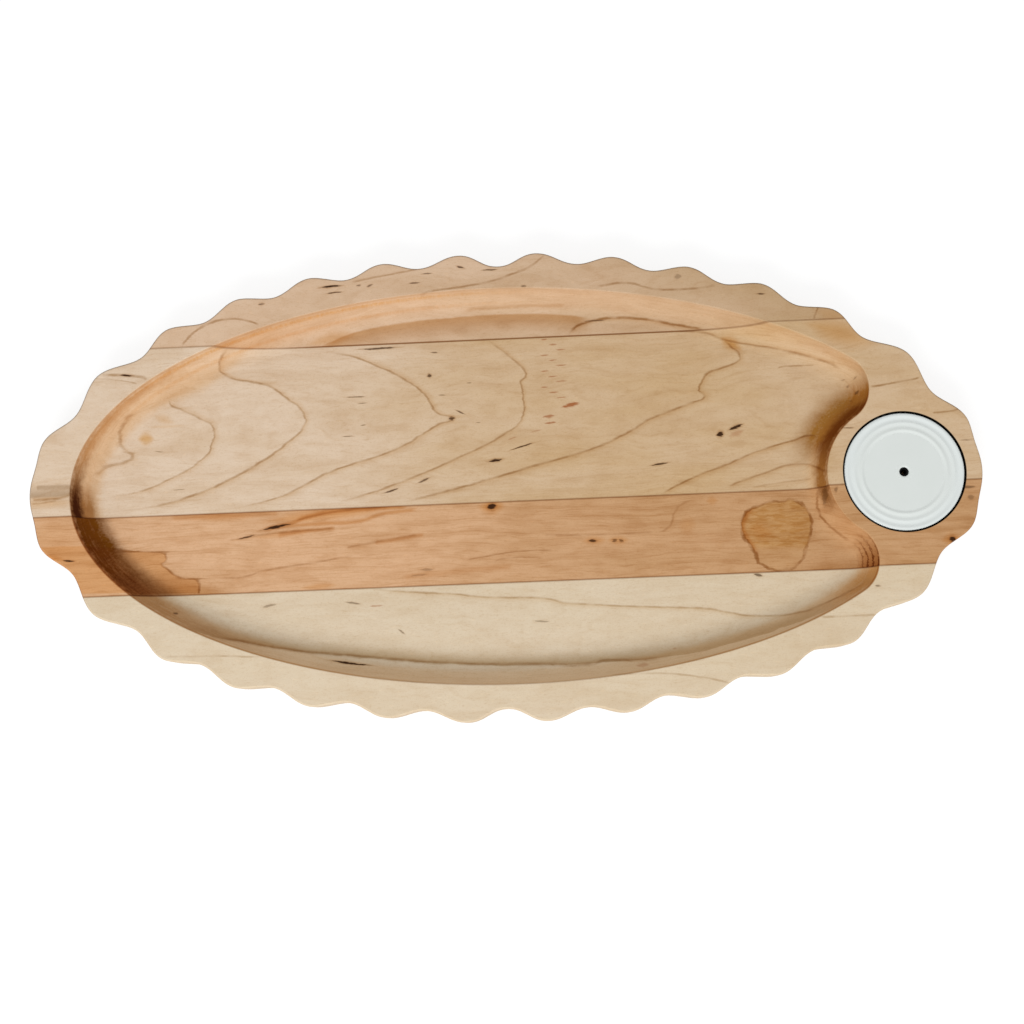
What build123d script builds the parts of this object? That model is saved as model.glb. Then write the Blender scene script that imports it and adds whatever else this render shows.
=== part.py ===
from build123d import *
import math
import os

# Chip and dip server: an edge-glued maple board with a scalloped rim and a routed oval well, and a white
# ceramic disc that lies in a round pocket at one end and holds an ornament's peg in a rubber grip.
#
# Millimetres, +Z up. The origin is on the surface the board stands on, below the middle of the oval.
# +X runs along the board toward the disc, +Y toward the back.

# ------------------------------------------------------------------ board
BOARD_THICKNESS = 19.0
EDGE_ROUND = 1.2            # on the upper and lower edges of the scalloped rim

# ------------------------------------------------------------------ oval well
WELL_HALF_LENGTH = 250.4    # of the ellipse at the top of the well
WELL_HALF_WIDTH = 115.2
WELL_DEPTH = 12.5
WELL_COVE_RADIUS = 16.0     # the wall curves into the floor
WELL_CORNER_RADIUS = 21.0   # where the wall turns in around the disc
WELL_BULGE_RADIUS = 39.2    # of the wall around the disc, which is not quite centred on it
WELL_EDGE_ROUND = 0.8

# ------------------------------------------------------------------ scalloped rim
# The lobes reach to the crest line, which runs at a constant distance outside the well. Lengths of
# lobes are measured along it, from trough to trough, and depths square to it.
RIM_LAND = 21.4             # from the well to the crest line
MIDDLE_LOBE_LENGTH = 46.5   # the two lobes beside the middle of each long side
OUTER_LOBE_LENGTH = 52.0    # the last full lobe before each end
REGULAR_LOBES = 4           # between those two, sharing the length that is left
LAST_TROUGH_TO_TIP = 55.5
SHOULDER_TO_TIP = 29.0
DIP_TO_TIP = 17.5
MIDDLE_TROUGH_DEPTH = 7.8
REGULAR_TROUGH_DEPTH = 5.8
OUTER_TROUGH_DEPTH = 7.0    # both troughs of the outer lobe
SHOULDER_RISE = 1.6         # how far the swollen end of the board stands past the crest line
DIP_RISE = 0.9
TIP_RISE = 2.1
CREST_LINE_POINTS = 24      # points that carry the quarter of the crest line

# ------------------------------------------------------------------ staves
# The outline is cut a little askew to the four glued staves.
STAVE_SKEW = 0.82           # degrees
BACK_GLUE_LINE = 88.0       # Y of the hindmost glue line, above the middle of the oval
WIDE_STAVE_WIDTH = 97.4
NARROW_STAVE_WIDTH = 47.2

# ------------------------------------------------------------------ ceramic disc and its pocket
DISC_RADIUS = 33.95
DISC_THICKNESS = 6.2        # at its flat middle
DISC_GAP = 0.9              # between disc and pocket wall, all round
DISC_SINK = 0.3             # how far the ridges stay below the top of the board
DISC_FOOT_ROUND = 0.8
RIDGE_COUNT = 3
RIDGE_PITCH = 4.05
RIDGE_HEIGHT = 0.55
RIDGE_HALF_WIDTH = 0.85     # from a crest to halfway down its flank
RIDGE_VALLEY_HEIGHT = 0.12
LAST_CREST_TO_SIDE = 1.5    # from the outermost crest to the side of the disc
RIM_DROP = 0.27             # from the outermost crest down to the rounding of the rim
RIM_SLOPE = 24.0            # degrees, where that rounding begins
RIM_ROUND = 0.5
DISH_RADIUS = 5.0           # shallow dish around the hole
DISH_DEPTH = 0.8
POCKET_TO_TIP = 9.4         # wood left between the pocket and the end of the board
POCKET_TO_WELL = 8.9        # wood left between the pocket and the well, where they are nearest

# ------------------------------------------------------------------ rubber grip for the ornament's peg
GRIP_BORE_RADIUS = 1.6
GRIP_WALL = 1.0
GRIP_FLANGE_WIDTH = 2.0     # beyond the neck
GRIP_FLANGE_THICKNESS = 1.2
GRIP_CLEARANCE = 0.05       # between rubber and ceramic
GRIP_TOP_SINK = 1.3         # below the flat middle of the disc
GRIP_FLOOR_GAP = 0.3        # below the flange
PEG_HOLE_RADIUS = 4.0       # blind hole in the board below the grip
PEG_HOLE_DEPTH = 7.0

# ------------------------------------------------------------------ worked out from the above
WELL_FLOOR = BOARD_THICKNESS - WELL_DEPTH
COVE_OVERCUT = WELL_COVE_RADIUS - math.sqrt(
    WELL_COVE_RADIUS**2 - max(WELL_COVE_RADIUS - WELL_DEPTH, 0.0) ** 2
)
TIP_X = WELL_HALF_LENGTH + RIM_LAND + TIP_RISE
POCKET_RADIUS = DISC_RADIUS + DISC_GAP
POCKET_DEPTH = DISC_THICKNESS + RIDGE_HEIGHT + DISC_SINK
POCKET_FLOOR = BOARD_THICKNESS - POCKET_DEPTH
DISC_X = TIP_X - POCKET_TO_TIP - POCKET_RADIUS
BULGE_X = DISC_X - POCKET_RADIUS - POCKET_TO_WELL + WELL_BULGE_RADIUS
GRIP_NECK_RADIUS = GRIP_BORE_RADIUS + GRIP_WALL
GRIP_FLANGE_RADIUS = GRIP_NECK_RADIUS + GRIP_FLANGE_WIDTH
DISC_HOLE_RADIUS = GRIP_NECK_RADIUS + GRIP_CLEARANCE
COUNTERBORE_DEPTH = GRIP_FLOOR_GAP + GRIP_FLANGE_THICKNESS + GRIP_CLEARANCE
BLANK_LENGTH = 2.4 * TIP_X


def crest_line():
    """A quarter of the crest line, from the middle of a long side to the tip of the board."""
    points = []
    for step in range(CREST_LINE_POINTS + 1):
        angle = math.radians(90.0 * (1.0 - step / CREST_LINE_POINTS))
        on_well = Vector(WELL_HALF_LENGTH * math.cos(angle), WELL_HALF_WIDTH * math.sin(angle))
        outward = Vector(math.cos(angle) / WELL_HALF_LENGTH, math.sin(angle) / WELL_HALF_WIDTH)
        points.append(on_well + outward.normalized() * RIM_LAND)
    return Spline(*points, tangents=[(1, 0), (0, -1)])


def rim_extremes(length):
    """Troughs and crests of a quarter, as distance along the crest line and reach past it."""
    last_trough = length - LAST_TROUGH_TO_TIP
    first_regular = MIDDLE_LOBE_LENGTH
    last_regular = last_trough - OUTER_LOBE_LENGTH
    regular_length = (last_regular - first_regular) / REGULAR_LOBES

    troughs = [(0.0, -MIDDLE_TROUGH_DEPTH)]
    for lobe in range(REGULAR_LOBES):
        troughs.append((first_regular + lobe * regular_length, -REGULAR_TROUGH_DEPTH))
    troughs.append((last_regular, -OUTER_TROUGH_DEPTH))
    troughs.append((last_trough, -OUTER_TROUGH_DEPTH))

    extremes = []
    for trough, following in zip(troughs, troughs[1:]):
        crest = ((trough[0] + following[0]) / 2, 0.0)
        extremes += [trough, crest]
    extremes.append(troughs[-1])
    extremes.append((length - SHOULDER_TO_TIP, SHOULDER_RISE))
    extremes.append((length - DIP_TO_TIP, DIP_RISE))
    extremes.append((length, TIP_RISE))
    return extremes


def scalloped_outline():
    """The closed outline of the board: smooth edges from trough to crest and on to the next trough."""
    line = crest_line()

    def rim_point(distance, reach):
        along = line.tangent_at(distance / line.length)
        outward = Vector(-along.Y, along.X)
        return line.position_at(distance / line.length) + outward * reach

    extremes = rim_extremes(line.length)
    quarter = []
    for here, ahead in zip(extremes, extremes[1:]):
        flank = rim_point((here[0] + ahead[0]) / 2, (here[1] + ahead[1]) / 2)
        directions = [line.tangent_at(here[0] / line.length), line.tangent_at(ahead[0] / line.length)]
        quarter.append(Spline(rim_point(*here), flank, rim_point(*ahead), tangents=directions))
    right_half = quarter + [mirror(edge, Plane.XZ) for edge in quarter]
    left_half = [mirror(edge, Plane.YZ) for edge in right_half]
    return right_half + left_half


def board_blank():
    """The whole board with its edges rounded, before routing."""
    slab = extrude(make_face(scalloped_outline()), BOARD_THICKNESS)
    edges = slab.edges().filter_by(Plane.XY)
    return fillet(edges, EDGE_ROUND)


def well_cutter():
    """The space of the oval well, with a coved wall that bends around the disc's pocket."""
    oval = make_face(Ellipse(WELL_HALF_LENGTH + COVE_OVERCUT, WELL_HALF_WIDTH + COVE_OVERCUT).edges())
    bulge = Pos(BULGE_X, 0) * Circle(WELL_BULGE_RADIUS - COVE_OVERCUT)
    height = WELL_COVE_RADIUS + WELL_DEPTH
    cutter = extrude(oval - bulge, height)
    corners = cutter.edges().filter_by(Axis.Z).sort_by(Axis.X)[-2:]
    cutter = fillet(corners, WELL_CORNER_RADIUS + COVE_OVERCUT)
    cutter = fillet(cutter.faces().sort_by(Axis.Z)[0].edges(), WELL_COVE_RADIUS)
    return Pos(0, 0, WELL_FLOOR) * cutter


def routed_board():
    """The board with its well, the disc's pocket and the blind hole below the grip."""
    board = board_blank() - well_cutter()
    top = board.faces().filter_by(Plane.XY).sort_by(Axis.Z)[-1]
    well_edges = top.inner_wires().sort_by(Axis.X)[0].edges()
    board = fillet(well_edges, WELL_EDGE_ROUND)
    pocket = Pos(DISC_X, 0, POCKET_FLOOR) * extrude(Circle(POCKET_RADIUS), POCKET_DEPTH)
    peg_hole = Pos(DISC_X, 0, POCKET_FLOOR) * extrude(Circle(PEG_HOLE_RADIUS), -PEG_HOLE_DEPTH)
    return board - pocket - peg_hole


def staves(board):
    """The four staves that the board is glued up from, back to front."""
    half_width = BLANK_LENGTH / 2
    glue_lines = [half_width, BACK_GLUE_LINE]
    glue_lines.append(glue_lines[-1] - WIDE_STAVE_WIDTH)
    glue_lines.append(glue_lines[-1] - NARROW_STAVE_WIDTH)
    glue_lines.append(-half_width)
    names = ["back_stave", "wide_stave", "narrow_stave", "front_stave"]
    pieces = {}
    for name, back, front in zip(names, glue_lines, glue_lines[1:]):
        blank = Pos(0, (back + front) / 2, BOARD_THICKNESS / 2) * Box(
            BLANK_LENGTH, back - front, 2 * BOARD_THICKNESS
        )
        pieces[name] = board & (Rot(0, 0, STAVE_SKEW) * blank)
    return pieces


def ceramic_disc():
    """The glazed disc: flat middle, concentric ridges, a dished hole and a counterbore for the grip."""
    crest = DISC_THICKNESS + RIDGE_HEIGHT
    halfway = crest - (RIDGE_HEIGHT - RIDGE_VALLEY_HEIGHT) / 2
    last_crest_radius = DISC_RADIUS - LAST_CREST_TO_SIDE
    ridge_points = []
    for ridge in range(RIDGE_COUNT):
        radius = last_crest_radius - (RIDGE_COUNT - 1 - ridge) * RIDGE_PITCH
        foot = 0.0 if ridge == 0 else RIDGE_VALLEY_HEIGHT
        ridge_points.append((radius - RIDGE_PITCH / 2, DISC_THICKNESS + foot))
        ridge_points.append((radius - RIDGE_HALF_WIDTH, halfway))
        ridge_points.append((radius, crest))
        ridge_points.append((radius + RIDGE_HALF_WIDTH, halfway))
    # The outer flank of the last ridge is shorter, and runs into the rounding of the rim.
    falling = (math.cos(math.radians(RIM_SLOPE)), -math.sin(math.radians(RIM_SLOPE)))
    ridge_points[-1] = (DISC_RADIUS - RIM_ROUND * (1 + falling[1]), crest - RIM_DROP)
    ridges = Spline(*ridge_points, tangents=[(1, 0), falling])
    rim = JernArc(ridges @ 1, falling, RIM_ROUND, RIM_SLOPE - 90)
    side = Line(rim @ 1, (DISC_RADIUS, DISC_FOOT_ROUND))
    foot_round = JernArc(side @ 1, (0, -1), DISC_FOOT_ROUND, -90)
    counterbore_radius = GRIP_FLANGE_RADIUS + GRIP_CLEARANCE
    underside = Polyline(
        foot_round @ 1,
        (counterbore_radius, 0),
        (counterbore_radius, COUNTERBORE_DEPTH),
        (DISC_HOLE_RADIUS, COUNTERBORE_DEPTH),
        (DISC_HOLE_RADIUS, DISC_THICKNESS - DISH_DEPTH),
    )
    dish = Spline(
        underside @ 1,
        (DISH_RADIUS, DISC_THICKNESS),
        tangents=[(0, 1), (1, 0)],
    )
    middle = Line(dish @ 1, ridges @ 0)
    section = make_face([ridges, rim, side, foot_round, underside, dish, middle])
    return Pos(DISC_X, 0, POCKET_FLOOR) * revolve(Plane.XZ * section, Axis.Z)


def peg_grip():
    """The rubber sleeve in the disc's hole, held by a flange below."""
    neck_height = DISC_THICKNESS - GRIP_TOP_SINK - GRIP_FLOOR_GAP
    flange = extrude(Circle(GRIP_FLANGE_RADIUS), GRIP_FLANGE_THICKNESS)
    neck = extrude(Circle(GRIP_NECK_RADIUS), neck_height)
    bore = extrude(Circle(GRIP_BORE_RADIUS), neck_height)
    return Pos(DISC_X, 0, POCKET_FLOOR + GRIP_FLOOR_GAP) * (flange + neck - bore)


nodes = staves(routed_board())
nodes["ceramic_disc"] = ceramic_disc()
nodes["peg_grip"] = peg_grip()

os.makedirs("parts", exist_ok=True)
for name, solid in nodes.items():
    solid.label = name
    export_step(solid, f"parts/{name}.step")
    box = solid.bounding_box()
    print(f"{name}: {len(solid.solids())} solid, {solid.volume / 1000:.1f} cm3, {box.size}")
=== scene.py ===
"""Looks of the chip and dip server: oiled maple, glazed ceramic, black rubber and a plain studio.

The staves, disc and grip keep their CAD shapes; this script gives them procedural materials.
Positions on the board are in millimetres, x along it toward the disc and y across it toward the back.
"""
import math
from collections import namedtuple

import bpy
from mathutils import Matrix, Vector


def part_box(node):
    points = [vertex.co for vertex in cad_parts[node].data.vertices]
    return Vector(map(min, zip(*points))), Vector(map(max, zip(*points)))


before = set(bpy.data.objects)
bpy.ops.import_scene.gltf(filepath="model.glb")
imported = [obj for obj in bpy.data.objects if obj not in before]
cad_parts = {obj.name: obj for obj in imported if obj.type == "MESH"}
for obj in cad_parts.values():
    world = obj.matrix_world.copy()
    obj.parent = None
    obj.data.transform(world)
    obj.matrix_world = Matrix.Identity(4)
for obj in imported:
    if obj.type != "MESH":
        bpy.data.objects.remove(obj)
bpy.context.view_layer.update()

MM = 0.001
scene = bpy.context.scene


def millimetres(corner):
    """A corner of a box, from metres to millimetres."""
    return tuple(value / MM for value in corner)


BOARD_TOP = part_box("wide_stave")[1].z / MM
DISC_LOW, DISC_HIGH = (millimetres(corner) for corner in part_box("ceramic_disc"))
DISC_X = (DISC_LOW[0] + DISC_HIGH[0]) / 2
DISC_RADIUS = (DISC_HIGH[0] - DISC_LOW[0]) / 2

# The well in the board's top.
WELL_HALF_LENGTH = 250.4
WELL_HALF_WIDTH = 115.2
POCKET_CLEARANCE = 0.9
CORNER_CENTRE = (191.4, 49.9)    # of the well's tight corner behind the disc; its twin is in front
CORNER_RADIUS = 21.0
BULGE_X = 225.1                  # centre of the round bulge of land that carries the disc
BULGE_RADIUS = 39.2
WELL_MARGIN = 6                  # how far past the well's line the well's own layers may reach

# The glue lines between the staves: y at mid length, and how fast y rises along x.
BACK_SEAM = 88.0
MIDDLE_SEAM = -9.4
FRONT_SEAM = -56.6
SEAM_SLOPE = 0.0143


def paint(red, green, blue):
    """A colour written as 0 to 255 values, as Blender's linear colour."""

    def linear(value):
        share = value / 255
        return share / 12.92 if share <= 0.04045 else ((share + 0.055) / 1.055) ** 2.4

    return (linear(red), linear(green), linear(blue), 1.0)


# ---------------------------------------------------------------- node graphs
# A Mix node's sockets for colours: factor, first and second colour, and the result.
MIX_COLOUR_INPUTS = (0, 6, 7)
MIX_COLOUR_OUTPUT = 2


class Graph:
    """The nodes of one material or world. Every input is a constant or another node's output."""

    def __init__(self, owner):
        owner.use_nodes = True
        self.owner = owner
        self.tree = owner.node_tree
        self.shader = self.tree.nodes.get("Principled BSDF")

    def feed(self, socket, value):
        """Gives an input a constant, or links another node's output to it."""
        if isinstance(value, bpy.types.NodeSocket):
            self.tree.links.new(value, socket)
        else:
            socket.default_value = value

    def node(self, kind, *values, **settings):
        """A new node with its settings, and with values for its first inputs."""
        made = self.tree.nodes.new(kind)
        for key, setting in settings.items():
            setattr(made, key, setting)
        for socket, value in zip(made.inputs, values):
            self.feed(socket, value)
        return made

    def calc(self, operation, *values):
        return self.node("ShaderNodeMath", *values, operation=operation).outputs[0]

    def vector(self, operation, *values):
        made = self.node("ShaderNodeVectorMath", *values, operation=operation)
        return made.outputs["Value" if operation == "LENGTH" else "Vector"]

    def fade(self, value, start, end):
        """0 where the value is at start, 1 where it is at end, and smooth between."""
        made = self.node("ShaderNodeMapRange", value, start, end, interpolation_type="SMOOTHSTEP")
        return made.outputs[0]

    def combine(self, x, y, z):
        return self.node("ShaderNodeCombineXYZ", x, y, z).outputs[0]

    def noise(self, point, size, detail=2.0):
        """Noise from 0 to 1 with features of a size in millimetres along each axis."""
        scaled = self.vector("DIVIDE", point, size)
        return self.node("ShaderNodeTexNoise", scaled, 0.0, 1.0, detail).outputs[0]

    def blend(self, factor, first, second, mode="MIX"):
        """The first colour where the factor is 0, and where it is 1 what the mode makes of both."""
        made = self.node("ShaderNodeMix", data_type="RGBA", blend_type=mode)
        for place, value in zip(MIX_COLOUR_INPUTS, (factor, first, second)):
            self.feed(made.inputs[place], value)
        return made.outputs[MIX_COLOUR_OUTPUT]

    def largest(self, *masks):
        """The largest of the masks that there are, or None where there is none."""
        total = None
        for mask in masks:
            if total is None:
                total = mask
            elif mask is not None:
                total = self.calc("MAXIMUM", total, mask)
        return total

    def place(self):
        """The object's own position in millimetres, and the direction that its surface faces."""
        source = self.node("ShaderNodeTexCoord")
        point = self.vector("MULTIPLY", source.outputs["Object"], (1 / MM, 1 / MM, 1 / MM))
        return point, source.outputs["Normal"]

    def split(self, vector):
        return self.node("ShaderNodeSeparateXYZ", vector).outputs[:3]

    def surface(self, colour, roughness):
        self.feed(self.shader.inputs["Base Color"], colour)
        self.feed(self.shader.inputs["Roughness"], roughness)

    def bumps(self, height, strength, depth):
        """Small bumps that follow a height from 0 to 1, with a depth in millimetres."""
        made = self.node("ShaderNodeBump")
        made.inputs["Strength"].default_value = strength
        made.inputs["Distance"].default_value = depth * MM
        self.feed(made.inputs["Height"], height)
        self.feed(self.shader.inputs["Normal"], made.outputs[0])


# ---------------------------------------------------------------- figure of the wood
# A vein is a thin growth line. It runs along one axis through a few points (x, y); half_width is in
# millimetres, strength is how dark it is, and shade is how far the wood beside it is tinted, with a
# sign that gives the side.
Vein = namedtuple("Vein", "along half_width strength shade points")
# A mark is a small oval: its centre, length, width and tilt in degrees, and how dark it is.
Mark = namedtuple("Mark", "x y length width tilt strength")

WIDE_VEINS = [
    Vein("y", 0.8, 0.6, 4, [(-239, 12), (-234, 17), (-221, 21), (-218, 24), (-222, 27), (-225, 33),
                            (-223, 42), (-217, 49)]),
    Vein("y", 0.4, 0.7, 4, [(-234, -1), (-212, 3), (-192, 11), (-175, 22), (-171, 28), (-171, 41),
                            (-176, 44), (-189, 51), (-196, 54), (-197, 57)]),
    Vein("y", 0.5, 0.8, 4, [(-223, -9), (-189, -3), (-151, 13), (-125, 30), (-116, 41), (-119, 50),
                            (-125, 55), (-138, 64), (-163, 71), (-166, 75), (-160, 86)]),
    Vein("y", 0.4, 0.8, 4, [(-158, -9), (-131, -3), (-101, 11), (-61, 24), (-36, 38), (-29, 41),
                            (-37, 44), (-46, 57), (-73, 74), (-95, 82), (-112, 84)]),
    Vein("y", 0.4, 0.7, 3, [(-95, -7), (-62, 3), (-29, 16), (2, 31), (11, 38), (13, 54), (12, 62),
                            (15, 66), (8, 75), (-8, 88)]),
    Vein("y", 0.5, 0.8, 4, [(-58, -8), (-28, -1), (14, 10), (62, 24), (91, 39), (111, 46),
                            (119, 49), (116, 54), (119, 60), (122, 63.5), (131, 67), (140, 71),
                            (140, 75), (136, 79), (132, 84)]),
    Vein("x", 0.4, 0.9, -4, [(92, -7), (111, 2), (133, 10), (151, 17), (172, 23), (180, 25),
                             (184, 19)]),
    Vein("x", 0.4, 0.7, -3, [(131, -4), (151, 3), (173, 8), (180, 6), (187, -4)]),
    Vein("x", 0.3, 0.4, -3, [(144, -5), (166, -2), (179, -1)]),
    Vein("x", 0.5, 0.7, 3, [(103, 89), (120, 88), (131, 84), (142, 81), (165, 76), (187, 69),
                            (199, 63)]),
    Vein("x", 0.7, 1.0, 0, [(-233, 70), (-222, 69.5), (-214, 69), (-206, 67)]),
    Vein("x", 0.3, 0.5, 0, [(-238, 68), (-226, 67), (-212, 64)]),
    Vein("x", 0.6, 0.9, 3, [(-272, -3), (-260, -2.7), (-249, -1)]),
    Vein("x", 0.4, 0.6, 0, [(-272, -5.2), (-265, -4.6), (-257, -3.4)]),
    Vein("x", 0.4, 0.9, 0, [(213, 50), (225, 51.3), (242, 54.7)]),
    Vein("x", 0.3, 0.7, 0, [(248, 33.5), (256, 34), (263, 35.5)]),
    Vein("x", 0.3, 0.7, 0, [(163, 65.5), (173, 66.7), (184, 66.5)]),
]
WIDE_DARK_MARKS = [
    Mark(127, 27, 4.5, 3, 0, 1), Mark(136.5, 31, 9, 2, 20, 1), Mark(-4, 15.2, 8.5, 1.6, 8, 1),
    Mark(12, 23.2, 14, 0.8, 17, 0.9), Mark(-46, 4.7, 8, 1, 22, 0.7),
    Mark(-65.5, -1.2, 9, 1, 15, 0.8), Mark(-42, 67, 3, 2, 0, 0.8), Mark(-29, 41, 4, 2, 10, 0.8),
    Mark(-24, 44.5, 6.5, 0.8, -25, 0.7), Mark(91.5, 10.2, 10, 1.3, 8, 0.9),
    Mark(-85.5, 55.5, 11, 0.6, 0, 0.6), Mark(-81.5, 51.5, 5, 0.5, 4, 0.5),
    Mark(-81, 38.5, 3, 0.6, 10, 0.5), Mark(-90, 32, 6, 0.6, 2, 0.5), Mark(-39, 81, 4, 0.8, -6, 0.6),
    Mark(-72, 84.6, 22, 1.1, 1, 0.8), Mark(-218, 69.4, 8, 1.2, -3, 1),
    Mark(199, 26, 7, 0.6, 0, 0.6), Mark(-202, 26, 5, 0.5, -8, 0.4), Mark(-190, 3, 7, 0.5, 4, 0.4),
    Mark(266, 17, 8, 0.5, 0, 0.5), Mark(-35, 55, 4, 0.6, -4, 0.5), Mark(-18, 62, 3, 0.5, 0, 0.5),
    Mark(-14, 38, 3, 0.5, 0, 0.4), Mark(207.5, 48.5, 2.6, 1.6, 60, 0.5),
    Mark(204, 44, 2, 1, 20, 0.25), Mark(203, 53, 2, 1, 50, 0.3), Mark(206, 57, 2.4, 1, 40, 0.3),
    Mark(200, 57, 2, 0.8, 10, 0.25),
]
WIDE_RED_MARKS = [
    Mark(41, 47, 12, 3, 12, 1), Mark(27.5, 40.6, 7, 2, 10, 0.8), Mark(28.5, 36.7, 7, 1.4, 8, 0.9),
    Mark(137, 27.5, 9, 4, 20, 0.4), Mark(6, 28, 6, 1, 15, 0.5), Mark(20, 32, 8, 0.8, 15, 0.5),
] + [
    Mark(26 + 5 * (step % 3), 87 - 3.2 * step, 5 + step % 3, 0.9, 4, 0.75) for step in range(12)
]
WIDE_TINTS = [
    Mark(-210, 34, 9, 8, 0, 1), Mark(136, 81, 13, 8, -35, 1), Mark(-199, 45, 13, 6, -20, 0.45),
    Mark(-172, 70, 60, 8, 35, 0.4), Mark(-266, -5, 34, 7, 0, 0.5), Mark(198, 82, 40, 16, -20, 0.8),
    Mark(-182, 64, 44, 9, 24, 0.5), Mark(-198, 41, 24, 2, 0, 0.35),
]
# Grey mineral streaks on the rim.
WIDE_STAINS = [
    Vein("x", 0.9, 1.0, 7, [(-274, -0.8), (-262, -0.6), (-249, -0.2)]),
    Vein("x", 0.5, 0.8, 0, [(-272, 1.0), (-262, 1.3), (-249, 1.9)]),
    Vein("x", 0.9, 0.9, -6, [(-270, 4.2), (-260, 4.6), (-249, 4.4)]),
    Vein("x", 0.3, 0.8, 0, [(-266, 2.6), (-258, 3.1), (-249, 3.3)]),
]

NARROW_VEINS = [
    Vein("x", 0.4, 0.6, 0, [(-165, -50), (-150, -49), (-140, -46), (-110, -42), (-88, -38.5)]),
    Vein("x", 0.5, 0.5, -3, [(-92, -34), (-75, -31), (-50, -27.5)]),
    Vein("x", 0.3, 0.6, 0, [(-22, -43), (-8, -40.6), (10, -38.5), (28, -38.5)]),
    Vein("x", 0.3, 0.4, 0, [(-6, -44.5), (8, -42), (22, -43)]),
    Vein("x", 0.4, 0.5, 0, [(22, -28), (40, -30), (60, -30), (86, -29.5)]),
    Vein("x", 0.4, 0.6, -2, [(-160, -27.7), (-145, -25.5), (-128, -23.7), (-98, -22)]),
    Vein("x", 0.4, 0.5, 0, [(-122, -17.5), (-108, -14), (-90, -11.6), (-66, -10.6)]),
    Vein("y", 0.5, 0.9, 0, [(198, -38), (193, -34), (184, -25), (181.5, -20), (181, -14),
                            (182, -7)]),
    Vein("y", 0.5, 0.4, 3, [(90, -30), (97, -25), (99, -18), (103, -14), (110, -11)]),
]
NARROW_STAINS = [
    Vein("x", 1.3, 0.9, 0, [(-141, -22), (-126, -19.5), (-112, -14.5), (-95, -12), (-55, -10.6)]),
    Vein("x", 1.0, 0.8, 0, [(-132, -21), (-105, -19.3), (-88, -19), (-70, -14.5), (-50, -12.5)]),
    Vein("x", 1.2, 0.6, 0, [(-132, -25.5), (-115, -23.3), (-98, -22)]),
    Vein("x", 1.6, 0.6, 0, [(-195, -13.5), (-165, -13), (-130, -12.6)]),
    Vein("x", 1.0, 0.6, 0, [(-75, -31.4), (-60, -29.3), (-46, -27.4)]),
    Vein("x", 1.6, 0.4, 0, [(-60, -52), (-30, -49.5), (5, -47)]),
]
NARROW_DARK_MARKS = [
    Mark(-133, -20.8, 17, 1.8, 10, 1), Mark(-150, -26, 9, 1, 14, 0.8),
    Mark(-7, -12, 5.5, 3.6, 5, 1), Mark(51, -33.5, 5, 1.5, 0, 0.9),
    Mark(64, -34, 3.2, 1.8, 20, 0.6), Mark(67.5, -34, 2.6, 1.6, -30, 0.6),
    Mark(-250, -38.8, 7, 1.2, -6, 1), Mark(254, -39.8, 4, 3, 0, 1), Mark(185, -12, 3, 11, 0, 0.35),
    Mark(-45, -48, 8, 1.5, 0, 0.3), Mark(-50, -51, 10, 1, 3, 0.25), Mark(190, -9.5, 2, 3, 0, 0.4),
    Mark(265, -10, 8, 1.5, 0, 0.5), Mark(266, -16, 4, 3, 0, 0.35),
]
NARROW_TINTS = [
    Mark(-7, -12, 15, 9, 0, 1), Mark(254, -40, 12, 7, 0, 1), Mark(-258, -37, 12, 4, -15, 0.7),
    Mark(-258, -26, 44, 30, 0, 0.4), Mark(121, -12, 7, 5, 0, 0.6), Mark(52, -33.5, 14, 5, 0, 0.7),
    Mark(66, -34, 12, 5, 0, 0.7), Mark(-103, -14, 75, 8, 5, 0.8), Mark(-165, -14, 40, 5, 0, 0.5),
    Mark(-108, -56, 20, 4, 4, 0.6), Mark(106, -26, 10, 10, 0, 0.4),
    Mark(148, -31, 16, 10, -20, 0.6), Mark(-128, -25, 40, 4, 6, 0.5),
]
# The darker patch at the left end, bounded by a stepped growth line.
STEP_LINE = [(-177, -58), (-177.5, -55), (-178, -52), (-180, -50.2), (-188, -49), (-192, -47),
             (-197, -43), (-199.5, -40.8), (-197.5, -39), (-197.5, -36), (-199, -34.2),
             (-220, -32.5), (-227, -31)]
# The closed, ring-shaped line near the right end: its radius every 30 degrees about its centre.
RING_CENTRE = (158, -33)
RING_RADII = [18.5, 21.5, 23, 19, 20, 22.8, 20, 17.3, 19.7, 20.8, 20.4, 18.5]

FRONT_VEINS = [
    Vein("x", 0.4, 0.65, -3, [(-78, -58), (-60, -60), (-40, -61.5), (0, -65.3), (20, -66),
                              (38, -69.5), (60, -71), (90, -73), (115, -74.3), (127, -77),
                              (150, -79.5), (165, -78.5), (178, -75), (192, -69), (207, -61)]),
    Vein("x", 0.8, 0.7, 3, [(-168, -83.5), (-150, -87.5), (-120, -93), (-90, -96.5), (-60, -99.7),
                            (-40, -101.7), (-20, -103), (20, -104), (42, -104.8), (50, -104.2),
                            (56, -102.8), (75, -103), (95, -101)]),
    Vein("x", 0.4, 0.5, 0, [(-193, -95), (-165, -95.5), (-138, -96.5)]),
    Vein("x", 0.4, 0.5, 0, [(58, -111.3), (90, -111.3), (110, -114), (126, -118)]),
    Vein("x", 0.4, 0.5, 0, [(178, -82), (192, -81.8), (209, -81.5)]),
]
# Painted shadow: a soft darker band along the foot of the front wall, where the wall shades the cove's
# floor.
FRONT_FOOT_SHADOW = [
    Vein("x", 0.2, 0.9, 9, [(-190, -76), (-168, -83.5), (-150, -87.5), (-120, -93), (-90, -96.5),
                            (-60, -99.7), (-20, -103), (20, -104), (56, -103.5), (95, -101),
                            (130, -94), (165, -84), (190, -74)]),
]
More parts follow.
